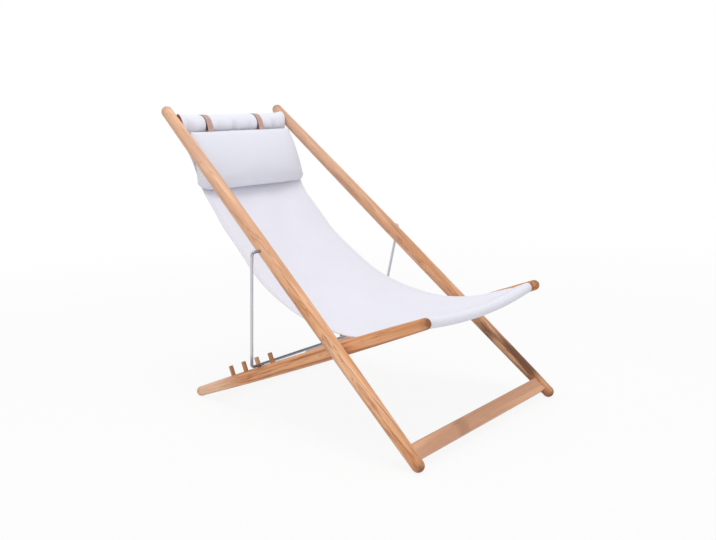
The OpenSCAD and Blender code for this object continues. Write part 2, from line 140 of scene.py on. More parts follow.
# %% The book of one material's nodes
class Book:
    def __init__(self, name):
        self.material = bpy.data.materials.new(name)
        self.material.use_nodes = True
        self.tree = self.material.node_tree
        self.tree.nodes.clear()
        self.shader = self.tree.nodes.new("ShaderNodeBsdfPrincipled")
        end = self.tree.nodes.new("ShaderNodeOutputMaterial")
        self.tree.links.new(self.shader.outputs[0], end.inputs[0])

    def put(self, value, socket):
        """A value is linked to the socket, and a plain number or colour is set on it."""
        if isinstance(value, Value):
            self.tree.links.new(value.socket, socket)
        else:
            socket.default_value = value

    def node(self, kind, settings=None, inputs=None):
        made = self.tree.nodes.new(kind)
        for key, value in (settings or {}).items():
            if key == "stops":
                ramp = made.color_ramp
                while len(ramp.elements) > 1:
                    ramp.elements.remove(ramp.elements[-1])
                for i, (place, colour) in enumerate(value):
                    e = ramp.elements[0] if i == 0 else ramp.elements.new(place)
                    e.position, e.color = place, colour
            else:
                setattr(made, key, value)
        for key, value in (inputs or {}).items():
            self.put(value, made.inputs[key])
        return Made(self, made)

    def feed(self, **inputs):
        """Set or link the main shader's own sockets."""
        for key, value in inputs.items():
            self.put(value, self.shader.inputs[key.replace("_", " ")])

    def blend(self, a, b, amount, mode="MIX"):
        made = self.node("ShaderNodeMix", {"data_type": "RGBA", "blend_type": mode},
                         {0: amount, 6: a, 7: b})
        return made.out(2)

    def ramp(self, value, *stops):
        return self.node("ShaderNodeValToRGB", {"stops": stops}, {0: value}).out(0)

    def noise(self, where, scale, detail=3.0, rough=0.55):
        return self.node("ShaderNodeTexNoise", {}, {
            "Vector": where, "Scale": scale, "Detail": detail, "Roughness": rough}).out(0)

    def mapped(self, where, scale=(1, 1, 1), rotation=(0, 0, 0), location=(0, 0, 0)):
        return self.node("ShaderNodeMapping", {}, {
            "Vector": where, "Scale": scale, "Rotation": rotation,
            "Location": location}).out(0)

    def split(self, vector):
        """The X, Y and Z of a vector."""
        parts = self.node("ShaderNodeSeparateXYZ", {}, {0: vector})
        return [parts.out(i) for i in range(3)]

    def step(self, value, start, stop, first=0.0, last=1.0):
        """first up to start, last from stop on, and a soft step between them."""
        return self.node("ShaderNodeMapRange", {"interpolation_type": "SMOOTHSTEP"}, {
            "Value": value, "From Min": start, "From Max": stop,
            "To Min": first, "To Max": last}).out(0)

    def bump(self, height, distance, strength=1.0, under=None):
        inputs = {"Height": height, "Distance": distance, "Strength": strength}
        if under is not None:
            inputs["Normal"] = under
        return self.node("ShaderNodeBump", {}, inputs).out(0)


print("short methods:", [name for name in vars(Book) if not name.startswith("_")])

# %% Colours as they look on screen
def srgb(r, g, b):
    """A screen colour, 0 to 255, as the linear numbers that shaders use."""
    def one(c):
        c /= 255
        return c / 12.92 if c <= 0.04045 else ((c + 0.055) / 1.055) ** 2.4
    return (one(r), one(g), one(b), 1.0)


def darker(colour, share):
    return tuple(c * share for c in colour[:3]) + (1,)


print("middle grey is", round(srgb(128, 128, 128)[0], 3), "to a shader")

# %% [markdown]
# ## Oiled wood
# The rails are turned from straight-grained timber, so the figure runs as
# long streaks along each stick: broad honey and orange bands, a few brown
# growth lines and fine dark pores. Noise stretched along the stick's own
# axis gives all three.

# %% The grain that every stick shares
HONEY, AMBER, TAWNY = srgb(247, 193, 150), srgb(224, 159, 108), srgb(184, 114, 66)
GROWTH_LINE, STREAK, PORE = srgb(160, 92, 46), srgb(152, 86, 42), srgb(128, 76, 42)


def grain(b, placed):
    """Colour, fine lines, streaks and pores. Y of placed runs along the stick."""
    wander = b.noise(b.mapped(placed, scale=(4, 0.9, 4)), 1.0, 2.0)
    bands = b.noise(b.mapped(placed, scale=(36, 0.8, 36)), 1.0, 3.0, 0.6)
    lines = b.noise(b.mapped(placed, scale=(170, 1.1, 170)), 1.0, 2.5, 0.6)
    specks = b.noise(b.mapped(placed, scale=(620, 16, 620)), 1.0, 1.5, 0.5)
    rings = b.step((bands * 7.0 + wander * 3.0).call("FRACT"), 0.80, 1.0)
    streaks, pores = b.step(lines, 0.53, 0.68), b.step(specks, 0.60, 0.72)
    colour = b.ramp(bands * 0.75 + wander * 0.25, (0.38, HONEY), (0.5, AMBER), (0.62, TAWNY))
    colour = b.blend(colour, GROWTH_LINE, rings * 0.68)
    colour = b.blend(colour, STREAK, streaks * 0.66)
    return b.blend(colour, PORE, pores * 0.35), lines, streaks, pores


print("grain from", len((HONEY, AMBER, TAWNY, GROWTH_LINE, STREAK, PORE)), "colours")

# %% [markdown]
# No two sticks are the same. Some are paler, some turn paler towards one
# end, one has a dark vein of heartwood in its lower part, and the foot board
# has a small knot. The foot board is made much paler, partly its own pinker
# wood and partly painted light that lifts it where the sling shades it. A
# mapping node first turns object space so that Y lies along the stick. Where
# the surface faces along the stick, at its domed tips, the end grain soaks
# up more oil and is darker, and the last centimetres before a rail's tips
# are a little darker too.

# %% The wood recipe
PALE, PALER, KNOT = srgb(246, 208, 180), srgb(250, 214, 188), srgb(168, 112, 84)
HEARTWOOD, END_GRAIN, NEAR_END = srgb(96, 42, 6), srgb(126, 74, 46), srgb(122, 72, 44)


def wood(name, rotation, tint=1.0, seed=0.0, warm=0.0, pale=0.0, paler=None, tip=0.6,
         vein=None, ends=None, knot=None):
    """Places are metres along the stick: paler is (start, stop, share), vein is
    (start, stop), ends is (the rail's middle, half its length), knot is one place."""
    b = Book(name)
    coords = b.node("ShaderNodeTexCoord")
    along = b.mapped(coords.out("Object"), rotation=rotation)
    placed = b.mapped(along, location=(seed, seed * 1.7, seed * 0.6))
    colour, lines, streaks, pores = grain(b, placed)
    place = b.split(along)[1]
    if pale:
        colour = b.blend(colour, PALE, pale)
    if paler:
        colour = b.blend(colour, PALER, b.step(place, paler[0], paler[1]) * paler[2])
    if knot is not None:
        away = (place + (lines - 0.5) * 0.09 - knot).call("ABSOLUTE")
        colour = b.blend(colour, KNOT, b.step(away, 0.010, 0.030, 1.0, 0.0) * 0.45)
    if vein:
        inside = b.step(place, vein[0], vein[0] + 0.05) * (
            1 - b.step(place, vein[1] - 0.09, vein[1]))
        heart = b.noise(b.mapped(placed, scale=(26, 2.4, 26)), 1.0, 1.0)
        colour = b.blend(colour, HEARTWOOD, inside * b.step(heart, 0.44, 0.54) * 0.85)
    facing_along = b.split(b.mapped(coords.out("Normal"), rotation=rotation))[1]
    end = b.step(facing_along.call("ABSOLUTE"), 0.35, 0.9)
    colour = b.blend(colour, END_GRAIN, end * tip)
    if ends:
        close = b.step((place - ends[0]).call("ABSOLUTE"), ends[1] - 0.03, ends[1])
        colour = b.blend(colour, NEAR_END, close * (0.12 + lines * 0.6))
    if tint != 1.0:
        tone = (tint, tint * (1 - warm), tint * (1 - 2 * warm), 1)
        colour = b.blend(colour, tone, 1.0, "MULTIPLY")
    b.feed(Base_Color=colour, Roughness=0.46 + streaks * 0.12 + end * 0.15,
           Normal=b.bump(lines * 0.6 - pores * 0.5, 0.0006, 0.6), Specular_IOR_Level=0.35,
           Coat_Weight=0.06, Coat_Roughness=0.35)
    return b.material


print("wood recipe ready")

# %% [markdown]
# The two leans turn each frame's sticks level with Y, and a quarter turn
# does it for the bars and boards that run across. Every stick gets its own
# seed, so no two show the same figure. The pegs share one darker wood.

# %% Finish the wooden pieces
BACK_LEAN, SEAT_LEAN = math.radians(41.2), math.radians(21.193)
ALONG_BACK, ALONG_SEAT = (-BACK_LEAN, 0, 0), (SEAT_LEAN, 0, 0)
ALONG_X, UPRIGHT = (0, 0, math.radians(90)), (math.radians(90) + SEAT_LEAN, 0, 0)
BACK_ENDS, SEAT_ENDS = (0.266, 0.605), (-0.092, 0.436)
woods = {
    "long_rail_left": wood("oiled_wood_back_left", ALONG_BACK, 0.935, seed=0.31, pale=0.08,
                           paler=(0.0, 0.7, 0.40), ends=BACK_ENDS),
    "long_rail_right": wood("oiled_wood_back_right", ALONG_BACK, 0.86, seed=2.13, pale=0.10,
                            paler=(0.1, 0.7, 0.40), vein=(-0.30, -0.03), ends=BACK_ENDS),
    "seat_rail_left": wood("oiled_wood_seat_left", ALONG_SEAT, 0.935, seed=4.47, warm=0.035,
                           tip=0.7, paler=(0.10, 0.27, 0.65), ends=SEAT_ENDS),
    "seat_rail_right": wood("oiled_wood_seat_right", ALONG_SEAT, 0.95, seed=6.05, warm=0.02,
                            tip=0.3, paler=(0.05, 0.26, 0.45), ends=SEAT_ENDS),
    "top_bar": wood("oiled_wood_top_bar", ALONG_X, seed=1.2),
    "front_bar": wood("oiled_wood_front_bar", ALONG_X, seed=3.4),
    # The foot board's large pale share is partly painted light, lifting the board where the sling
    # shades it.
    "foot_stretcher": wood("oiled_wood_foot_board_painted_light", ALONG_X, 0.985, seed=5.2, pale=0.34,
                           knot=-0.105),
    "rear_stretcher": wood("oiled_wood_rear_board", ALONG_X, 0.96, seed=7.7, pale=0.42),
}
peg_wood = wood("oiled_wood_peg", UPRIGHT, 0.7, seed=9.1)
for side in ("left", "right"):
    for i in range(1, 5):
        woods[f"peg_{side}_{i}"] = peg_wood


def finish_node(name, material):
    mesh = nodes[name].data
    mesh.materials.clear()
    mesh.materials.append(material)


for name, material in woods.items():
    finish_node(name, material)
print("wood on", len(woods), "pieces")

# %% [markdown]
# ## Metal
# The rod is plain drawn steel: nearly smooth, with very fine lines along it
# and a slightly uneven shine. Its colour is darkened at the cross rod and at
# one upper bend, a painted dark reflection. The bolts and washers are
# brighter, and the threaded sockets that hold the bolts are brass.

# %% The metals
# The colour of the painted dark reflection on the rod.
PAINTED_DARK_REFLECTION = srgb(112, 118, 126)
ROD_LEAN = math.radians(-10.65)
CROSS_ROD_UNDER, BEND_OVER = 0.15, 0.445


def metal(name, colour, rough, rotation=(0, 0, 0), painted_dark_reflection=False):
    """The last argument paints a dark reflection: darker colour under the cross rod's height, and
    over the bend's height on one side.
    """
    b = Book(name)
    where = b.node("ShaderNodeTexCoord").out("Object")
    drawn = b.noise(b.mapped(b.mapped(where, rotation=rotation), scale=(900, 900, 14)), 1.0, 2.0)
    cloudy = b.noise(where, 22.0, 3.0)
    base = b.blend(colour, darker(colour, 0.82), cloudy * 0.6)
    # Painted dark reflection: the rod's colour darkens low at the cross rod and high at one bend,
    # where dark surroundings would show in the steel.
    if painted_dark_reflection:
        across, _, height = b.split(where)
        low = b.step(height, CROSS_ROD_UNDER, CROSS_ROD_UNDER + 0.03, 1.0, 0.0)
        high = b.step(height, BEND_OVER - 0.015, BEND_OVER)
        one_side = b.step(across, 0.0, 0.1, 1.0, 0.0)
        base = b.blend(base, PAINTED_DARK_REFLECTION, (low + high * one_side) * 0.75)
    b.feed(Base_Color=base, Metallic=1.0, Roughness=rough + cloudy * 0.12,
           Normal=b.bump(drawn, 0.0001, 0.35))
    return b.material


steel = metal("drawn_steel", srgb(206, 208, 215), 0.18, (ROD_LEAN, 0, 0), painted_dark_reflection=True)
fitting = metal("bright_steel", srgb(196, 198, 202), 0.24)
brass = metal("socket_brass", srgb(206, 174, 104), 0.3)
finish_node("bail", steel)
for side in ("left", "right"):
    finish_node(f"pivot_bolt_{side}", fitting)
    finish_node(f"pivot_spacer_{side}", fitting)
    finish_node(f"pivot_insert_{side}", brass)
print("metal on the rod, bolts, washers and sockets")

# %% [markdown]
# ## The sling's line
# Seen from the side the cloth leaves the top bar straight down, swings
# forward in a long curve and comes up to the front bar. A smooth curve with
# five pull points follows the photograph closely. Side view points are
# (Y, Z) pairs here, and places on the rails are metres from the foot tip of
# the long rails and from the rear tip of the seat rails.

# %% The two bars
PIVOT = Vector((-0.198638, 0.229733))
PIVOT_ON_BACK, PIVOT_ON_SEAT = 0.341, 0.612
TOP_BAR_AT, FRONT_BAR_AT = 1.156, 0.848
TOP_R, FRONT_R = 0.0135, 0.0105
FRONT_HALF, FRONT_BOW = 0.236511, 0.016
BOW_R = (FRONT_HALF ** 2 + FRONT_BOW ** 2) / (2 * FRONT_BOW)


def on_back(s):
    """Side view point at s along the long rails."""
    return PIVOT + Vector((math.cos(BACK_LEAN), math.sin(BACK_LEAN))) * (s - PIVOT_ON_BACK)


def on_seat(s, n):
    """Side view point at s along the seat rails, n above them."""
    c, q = math.cos(SEAT_LEAN), math.sin(SEAT_LEAN)
    s = PIVOT_ON_SEAT - s
    return PIVOT + Vector((s * c + n * q, -s * q + n * c))


def front_bar(x):
    """Centre of the bowed front bar at x."""
    return on_seat(FRONT_BAR_AT, BOW_R - FRONT_BOW - math.sqrt(BOW_R ** 2 - x * x))


TOP_BAR = on_back(TOP_BAR_AT)
print("top bar at", TOP_BAR[:], "and front bar at", front_bar(0)[:])

# %% The line between the two bars
OFF_BAR = 0.0016
PULLS = ((0.193, 0.227), (0.242, 0.067), (0.593, 0.494))


def ray(degrees):
    return Vector((math.cos(math.radians(degrees)), math.sin(math.radians(degrees))))


def pull_points(centre):
    """The line's five pull points, for a front bar with this centre."""
    a = TOP_BAR + ray(-93) * (TOP_R + OFF_BAR)
    d = centre + ray(35) * (FRONT_R + OFF_BAR)
    h = (d - a).length
    e = (d - a) / h
    m = Vector((-e.y, e.x))
    return [a] + [a + (e * u + m * w) * h for u, w in PULLS] + [d]


def five_pulls(t, p):
    k = 1 - t
    return (p[0] * k ** 4 + p[1] * (4 * k ** 3 * t) + p[2] * (6 * k * k * t * t)
            + p[3] * (4 * k * t ** 3) + p[4] * t ** 4)


def four_pulls(k, p):
    return (p[0] * (1 - k) ** 3 + p[1] * (3 * k * (1 - k) ** 2)
            + p[2] * (3 * k * k * (1 - k)) + p[3] * k ** 3)


mid_points = [five_pulls(i / 200, pull_points(front_bar(0))) for i in range(201)]
length = sum((b - a).length for a, b in zip(mid_points, mid_points[1:]))
print("cloth between the bars:", round(length, 3), "m")

# %% [markdown]
# The cloth isn't equally wide all along. It is drawn in below the top sleeve
# and widens to the front bar, and on the camera's side, beside the pillow
# and below it, the edge is drawn in some millimetres more. It also dips
# slightly at mid width, and the edge on the camera's side hangs slack just
# behind the front bar. In t, 0 is the top bar and 1 the front bar; in f, -1
# is the edge on the camera's side and 1 the far edge.

# %% Width, dip and slack
HALF_TOP, HALF_FRONT = 0.199, 0.232
WIDTHS = (HALF_TOP, 0.199, 0.1977, 0.1975, 0.2012, 0.2124, 0.2230, 0.2295, HALF_FRONT)
TUCKS = (0.0, 0.0104, 0.0058, 0.0030, 0.0032, 0.0022, 0.0, 0.0, 0.0)
SEAM_TOP, SEAM_FRONT = 0.025, 0.985
BELLY, SLACK, SLACK_AT, SLACK_REACH = 0.010, 0.016, 0.905, 0.06


def between(places, t):
    """The value at t on a smooth line through nine evenly spaced values."""
    i = min(7, int(t * 8))
    k = t * 8 - i
    a, b, c, d = (places[min(8, max(0, j))] for j in (i - 1, i, i + 1, i + 2))
    return 0.5 * (2 * b + (c - a) * k + (2 * a - 5 * b + 4 * c - d) * k * k
                  + (3 * b - a - 3 * c + d) * k ** 3)


def half_width(t, near=False):
    """Half the cloth's width at t, on its far or near side."""
    if not near:
        return between(WIDTHS, t)
    k = min(1.0, max(0.0, (t - SEAM_TOP) / 0.05))
    return between(WIDTHS, t) - between(TUCKS, t) * k * k * (3 - 2 * k)


def line_at(t, f):
    slack = SLACK * math.exp(-((t - SLACK_AT) / SLACK_REACH) ** 2) * ((1 - f) / 2) ** 3
    dip = BELLY * math.sin(math.pi * t) * (1 - f * f)
    return five_pulls(t, pull_points(front_bar(f * HALF_FRONT))) - Vector((0, dip + slack))


def facing(t, f):
    """Unit normal of the cloth on the sitter's side."""
    d = line_at(min(t + 0.004, 1), f) - line_at(max(t - 0.004, 0), f)
    return Vector((d.y, -d.x)).normalized()


narrow = min(half_width(i / 100) for i in range(101))
print("narrowest", round(2 * narrow, 3), "m, at the front bar", 2 * HALF_FRONT, "m")

# %% [markdown]
# ## The sling's cloth
# The real sling is one strip of canvas. At each end it goes round its bar
# and comes back to a seam, which makes a sleeve, and a few millimetres of
# the turned end show behind the seam. The top sleeve is loose: its front
# stands off the bar in a soft fold, puckers above its seam and rises a
# little at both ends. Two windows in it, open down to the seam, let the
# pillow's straps through. The strip is laid out as rows of points from one
# turned end to the other, so its length stays true and the weave can be
# measured along it.

# %% The loose top sleeve
CLOTH = 0.0013
LOOSE_FROM = 96
RING_TOP, RING_FRONT = TOP_R + 0.0011, FRONT_R + 0.0012


def tangents(centre, radius, point):
    """The two angles at which a line from point touches the circle."""
    v = point - centre
    base = math.degrees(math.atan2(v.y, v.x))
    part = math.degrees(math.acos(radius / v.length))
    return base - part, base + part


def end_share(f):
    """0 over most of the sleeve, rising to 1 at both of its ends."""
    return (max(0.0, abs(f) - 0.72) / 0.28) ** 2


def loose_front(k, f, seam, top):
    """The sleeve's slack front, from the top of the bar at 0 to the seam at 1."""
    x = f * HALF_TOP
    calm = 1 - 0.42 * end_share(f)
    p = four_pulls(k, (top, top + ray(LOOSE_FROM + 90) * (0.034 * calm),
                       seam + Vector((-0.031 * calm, 0.009)), seam))
    pucker = math.sin(math.pi * min(1.0, max(0.0, (k - 0.35) / 0.65))) * (
        math.sin(x * 118 + 0.7) + 0.8 * math.sin(x * 197 + 2.1) + 0.5 * math.sin(x * 71))
    return p + Vector((-0.0030 * pucker, 0.0014 * pucker))


def top_row(kind, k, f):
    """Points of the top sleeve: turned end, rear leg, ring, front leg."""
    seam = line_at(SEAM_TOP, f)
    behind = seam - facing(SEAM_TOP, f) * (CLOTH + 0.0002)
    high = tangents(TOP_BAR, RING_TOP, seam)[1]
    if kind == "turned":
        return behind + (line_at(SEAM_TOP + 0.0085, f) - seam) * (1 - k)
    if kind == "rear":
        return behind.lerp(TOP_BAR + ray(high) * RING_TOP, k)
    rise = Vector((0, 0.0045 * end_share(f)))
    if kind == "ring":
        a = high + (LOOSE_FROM - high) * k
        return TOP_BAR + ray(a) * RING_TOP + rise * max(0.0, math.sin(math.radians(a)))
    return loose_front(k, f, seam, TOP_BAR + ray(LOOSE_FROM) * RING_TOP + rise)


print("top sleeve's seam at", line_at(SEAM_TOP, 0)[:])

# %% The front sleeve
def front_row(kind, k, f):
    """Points of the front sleeve: upper leg, ring, lower leg, turned end."""
    centre = front_bar(f * HALF_FRONT)
    seam = line_at(SEAM_FRONT, f)
    under = seam - facing(SEAM_FRONT, f) * (CLOTH + 0.0002)
    low, high = tangents(centre, RING_FRONT, seam)
    if kind == "upper":
        return seam.lerp(centre + ray(high) * RING_FRONT, k)
    if kind == "ring":
        return centre + ray(high + (low + 360 - high) * k) * RING_FRONT
    if kind == "lower":
        return (centre + ray(low) * RING_FRONT).lerp(under, k)
    return under + (line_at(SEAM_FRONT - 0.0035, f) - seam) * k


print("front sleeve's seam at", line_at(SEAM_FRONT, 0)[:])

# %% Rows of the cloth, from one turned end to the other
STEPS, SHEET_ROWS = 400, 116
table = [0.0]
for i in range(STEPS):
    table.append(table[-1] + (line_at((i + 1) / STEPS, 0) - line_at(i / STEPS, 0)).length)


def t_for(share):
    """Curve parameter at a share of the length between the two seams."""
    a = table[round(SEAM_TOP * STEPS)]
    b = table[round(SEAM_FRONT * STEPS)]
    want = a + (b - a) * share
    i = max(j for j in range(STEPS) if table[j] <= want)
    return (i + (want - table[i]) / (table[i + 1] - table[i])) / STEPS


rows = [("top", "turned", k) for k in (0.0, 0.5, 1.0)]
WINDOW_FROM = len(rows)
rows += [("top", "rear", k) for k in (0.07, 0.5, 1.0)]
rows += [("top", "ring", i / 12) for i in range(1, 13)]
rows += [("top", "front", i / 14) for i in range(1, 15)]
SEAM_ROW = len(rows) - 1
rows += [("sheet", t_for(i / SHEET_ROWS), 0) for i in range(1, SHEET_ROWS)]
rows += [("front", "upper", k) for k in (0.0, 0.35, 0.7, 1.0)]
rows += [("front", "ring", i / 16) for i in range(1, 17)]
rows += [("front", "lower", k) for k in (0.35, 0.7, 1.0)]
rows += [("front", "turned", k) for k in (0.5, 1.0)]
print(len(rows), "rows of cloth")

# %% [markdown]
# The cloth isn't perfectly even. It pulls a little between the straps, it
# has soft creases that fan out from the front corners, where the load goes
# into the bar's ends, and its side edges waver. These are small moves along
# the cloth's normal.

# %% Creases
def corner_fan(side, t, s, half):
    """Folds that fan out from one end of the front bar."""
    down = (1 - t) * 1.05
    reach = math.hypot(down, (side - s) * half)
    fan = math.atan2(down, (side - s) * half * side + 1e-6)
    return 0.0016 * math.sin(fan * 9) * math.exp(-((reach / 0.16) ** 2)) * min(1, reach / 0.03)


def crease(t, x, half):
    """How far the cloth stands off its smooth line, in metres."""
    s = x / half
    near_top = math.exp(-((t / 0.10) ** 2)) * (1 - math.exp(-((t / 0.02) ** 2)))
    gather = sum(math.cos(2 * math.pi * (x * q + o)) for q, o in
                 ((17, 0.15), (26, 0.4), (11.5, 0.7))) / 3
    soft = (0.0012 * math.sin(9 * s + 14 * t) * math.sin(7 * t + 2)
            + 0.0008 * math.sin(4.1 * s - 23 * t + 1.3)) * min(1, t * 8) * min(1, (1 - t) * 12)
    edge = 0.0015 * math.exp(-((1 - abs(s)) * half / 0.02)) * math.sin(31 * t + 2 * s) * min(
        1, t * 10) * min(1, (1 - t) * 14)
    corners = corner_fan(-1, t, s, half) + corner_fan(1, t, s, half)
    return 0.0016 * near_top * gather + soft + corners + edge


print("crease at mid seat:", round(crease(0.6, 0.0, half_width(0.6)) * 1000, 2), "mm")

# %% [markdown]
# Each row has the same columns of points. Most are evenly spread, with one
# at each hem's inner edge and one at each side of both strap windows.

# %% Columns of the cloth
STRAP_XS = (-0.119, 0.079)
WINDOW_HALF, HEM = 0.0106, 0.012
OUT_FROM, OUT_BY = 0.75, 0.006


def columns():
    cuts = sorted((x + d) / HALF_TOP for x in STRAP_XS for d in (-WINDOW_HALF, WINDOW_HALF))
    plain = [-1 + i / 24 for i in range(49)] + [-1 + HEM / HALF_TOP, 1 - HEM / HALF_TOP]
    keep = [f for f in plain if all(abs(f - c) * HALF_TOP > 0.0032 for c in cuts)]
    return sorted(set(round(f, 6) for f in keep + cuts))


def top_half(kind, k):
    """Half the width of the top sleeve, which meets the sheet's width at the seam."""
    seam_half = half_width(SEAM_TOP)
    if kind == "front":
        return HALF_TOP + (seam_half - HALF_TOP) * k
    if kind == "rear":
        return seam_half + (HALF_TOP - seam_half) * k
    return seam_half if kind == "turned" else HALF_TOP


def further_out(kind, k, f):
    """The top sleeve's end on the camera's side reaches out a little further."""
    if kind not in ("ring", "front") or f >= -OUT_FROM:
        return 0.0
    share = k ** 3 if kind == "ring" else 1 - k * k
    return OUT_BY * share * ((-f - OUT_FROM) / (1 - OUT_FROM)) ** 2


def cloth_point(row, f):
    part, a, k = row
    if part == "sheet":
        half = half_width(a, near=f < 0)
        p = line_at(a, f) + facing(a, f) * crease(a, f * half, half)
        return Vector((f * half, p.x, p.y))
    if part == "top":
        p = top_row(a, k, f)
        return Vector((f * top_half(a, k) - further_out(a, k, f), p.x, p.y))
    p = front_row(a, k, f)
    return Vector((f * HALF_FRONT, p.x, p.y))


shares = columns()
print(len(shares), "columns of cloth")

# %% Weave the sheet
def lay_out():
    """All points of the cloth, how far along the strip each row lies, and the flat area."""
    points, along = [], []
    middle = min(range(len(shares)), key=lambda i: abs(shares[i]))
    total, flat, last = 0.0, 0.0, None
    for row in rows:
        here = [cloth_point(row, f) for f in shares]
        if last is not None:
            step = (here[middle] - last).length
            total += step
            flat += step * (here[-1].x - here[0].x)
        last = here[middle]
        along.append(total)
        points += here
    return points, along, flat


def sheet_faces(wide):
    """Faces between the rows, without those in the two windows."""
    faces = []
    for r in range(len(rows) - 1):
        for c in range(wide - 1):
            centre = (shares[c] + shares[c + 1]) / 2 * HALF_TOP
            if WINDOW_FROM <= r < SEAM_ROW - 1 and any(
                    abs(centre - x) < WINDOW_HALF for x in STRAP_XS):
                continue
            a, b = r * wide + c, (r + 1) * wide + c
            faces.append((a, b, b + 1, a + 1))
    return faces


verts, run, area = lay_out()
wide = len(shares)
mesh = bpy.data.meshes.new("sling_cloth")
mesh.from_pydata([tuple(v) for v in verts], [], sheet_faces(wide))
uv = mesh.uv_layers.new(name="cloth")
for loop in mesh.loops:
    uv.data[loop.index].uv = (verts[loop.vertex_index].x, run[loop.vertex_index // wide])
sling = bpy.data.objects.new("sling_cloth", mesh)
bpy.context.collection.objects.link(sling)
print("sheet:", len(mesh.polygons), "faces, flat area", round(area, 4), "m2")

# %% [markdown]
# Solidify gives the cloth its thickness. The side hems are two layers of
# cloth, so a vertex group makes them thicker than the rest.

# %% Thickness, with thicker hems
HEM_CLOTH, ONE_LAYER = 0.0021, 0.62


def pick(obj):
    bpy.ops.object.select_all(action="DESELECT")
    obj.select_set(True)
    bpy.context.view_layer.objects.active = obj


hem = sling.vertex_groups.new(name="thick")
for i, v in enumerate(verts):
    first = i - i % wide
    edge = verts[first if v.x < 0 else first + wide - 1]
    hem.add([i], 1.0 if abs(edge.x) - abs(v.x) < HEM + 0.0005 else ONE_LAYER, "REPLACE")
pick(sling)
solid = sling.modifiers.new("cloth", "SOLIDIFY")
solid.thickness = HEM_CLOTH
solid.offset = 0
solid.vertex_group = "thick"
solid.use_even_offset = False
bpy.ops.object.modifier_apply(modifier="cloth")
bpy.ops.object.shade_smooth_by_angle(angle=math.radians(50))
V_SEAM_TOP = run[SEAM_ROW]
V_SEAM_FRONT = run[SEAM_ROW + SHEET_ROWS]
print("sling:", len(sling.data.polygons), "faces, seams at", round(V_SEAM_TOP, 3),
      "and", round(V_SEAM_FRONT, 3), "m, whole strip", round(run[-1], 3), "m")

# %% [markdown]
# ## Canvas
# The cloth is a plain weave in a cool white. Over and under threads come
# from two crossed waves on the cloth's own UV map, which is in metres, so
# the threads keep their size everywhere. Slubs, slight shading of the
# threads and a dashed line of sewing along each hem and seam are added from
# the same map. How far a point lies from the cloth's side edge is stored on
# the mesh first.

# %% Store the distance to the side edge
PLACES = 300


def half_at(v, near):
    """Half width of the cloth at v metres along the strip, on its near or far side."""
    if v <= V_SEAM_TOP:
        return HALF_TOP
    if v >= V_SEAM_FRONT:
        return HALF_FRONT
    return half_width(t_for((v - V_SEAM_TOP) / (V_SEAM_FRONT - V_SEAM_TOP)), near)


def store_from_side(obj):
    halves = {near: [half_at(i * run[-1] / PLACES, near) for i in range(PLACES + 1)]
              for near in (True, False)}
    mesh = obj.data
    uv = mesh.uv_layers.active.data
    value = [1.0] * len(mesh.vertices)
    for loop in mesh.loops:
        x = mesh.vertices[loop.vertex_index].co.x
        at = min(PLACES, int(uv[loop.index].uv[1] / run[-1] * PLACES))
        value[loop.vertex_index] = halves[x < 0][at] - abs(x)
    attribute = mesh.attributes.new("from_side", "FLOAT", "POINT")
    attribute.data.foreach_set("value", value)


store_from_side(sling)
print("distances stored on", len(sling.data.vertices), "points")

# %% The canvas recipe
THREAD, STITCH_EVERY, STITCH_SHARE = 0.0011, 0.0042, 0.78


def sewing(b, off_line, along):
    """Dashes where off_line, the distance from the sewn line, is nearly 0."""
    near = b.step(off_line.call("ABSOLUTE"), 0.0003, 0.0007, 1.0, 0.0)
    return near * (along * (1 / STITCH_EVERY)).call("FRACT").call("LESS_THAN", STITCH_SHARE)


def canvas(name, colour, shade, seams=(), side_hem=None):
    """seams are places along V in metres; side_hem is its sewing's distance from the edge."""
    b = Book(name)
    uv = b.node("ShaderNodeUVMap", {"uv_map": "cloth"}).out(0)
    u, v, _ = b.split(uv)
    over = (u * (math.pi / THREAD)).call("SINE")
    under = (v * (math.pi / THREAD)).call("SINE")
    weave = (over * under) * 0.5 + 0.5
    ribs = (over.call("ABSOLUTE") + under.call("ABSOLUTE")) * 0.5
    slub = b.noise(b.mapped(uv, scale=(160, 1900, 1)), 1.0, 2.0)
    slub2 = b.noise(b.mapped(uv, scale=(1900, 160, 1)), 1.0, 2.0)
    cloud = b.noise(b.mapped(uv, scale=(7, 7, 1)), 1.0, 4.0)
    tone = weave * 0.10 + slub * 0.16 + slub2 * 0.16 + cloud * 0.30
    base = b.blend(colour, shade, (tone - 0.12).call("MAXIMUM", 0.0) * 1.1)
    height = weave * 0.5 + ribs * 0.3 + slub * 0.25 + slub2 * 0.25
    dashes = [sewing(b, v - place, u) for place in seams]
    if side_hem is not None:
        from_side = b.node("ShaderNodeAttribute", {"attribute_name": "from_side"}).out("Fac")
        dashes.append(sewing(b, from_side - side_hem, v))
    if dashes:
        sewn = dashes[0]
        for dash in dashes[1:]:
            sewn = sewn.call("MAXIMUM", dash)
        base = b.blend(base, darker(shade, 0.86), sewn * 0.8)
        height = height - sewn * 0.9
    b.feed(Base_Color=base, Roughness=0.86 + slub * 0.08,
           Normal=b.bump(height, 0.00022, 0.55, b.bump(cloud, 0.0014, 0.35)),
           Specular_IOR_Level=0.25, Sheen_Weight=0.12, Sheen_Roughness=0.5)
    return b.material


sling.data.materials.append(canvas(
    "sling_canvas", srgb(238, 238, 247), srgb(214, 215, 228), side_hem=0.0105,
    seams=(V_SEAM_TOP + 0.001, V_SEAM_TOP + 0.005, V_SEAM_FRONT - 0.001, V_SEAM_FRONT - 0.005)))
print("canvas on the sling")

# %% [markdown]
# ## The head pillow
# Two panels of the same canvas are sewn round their edge and filled, so the
# pillow is thin at its seams and fullest in its lower half, and the filling
# pushes its lower corners round. It starts as a grid of points for its front
# and one for its back that meet in the seam, a little slimmer than it ends.

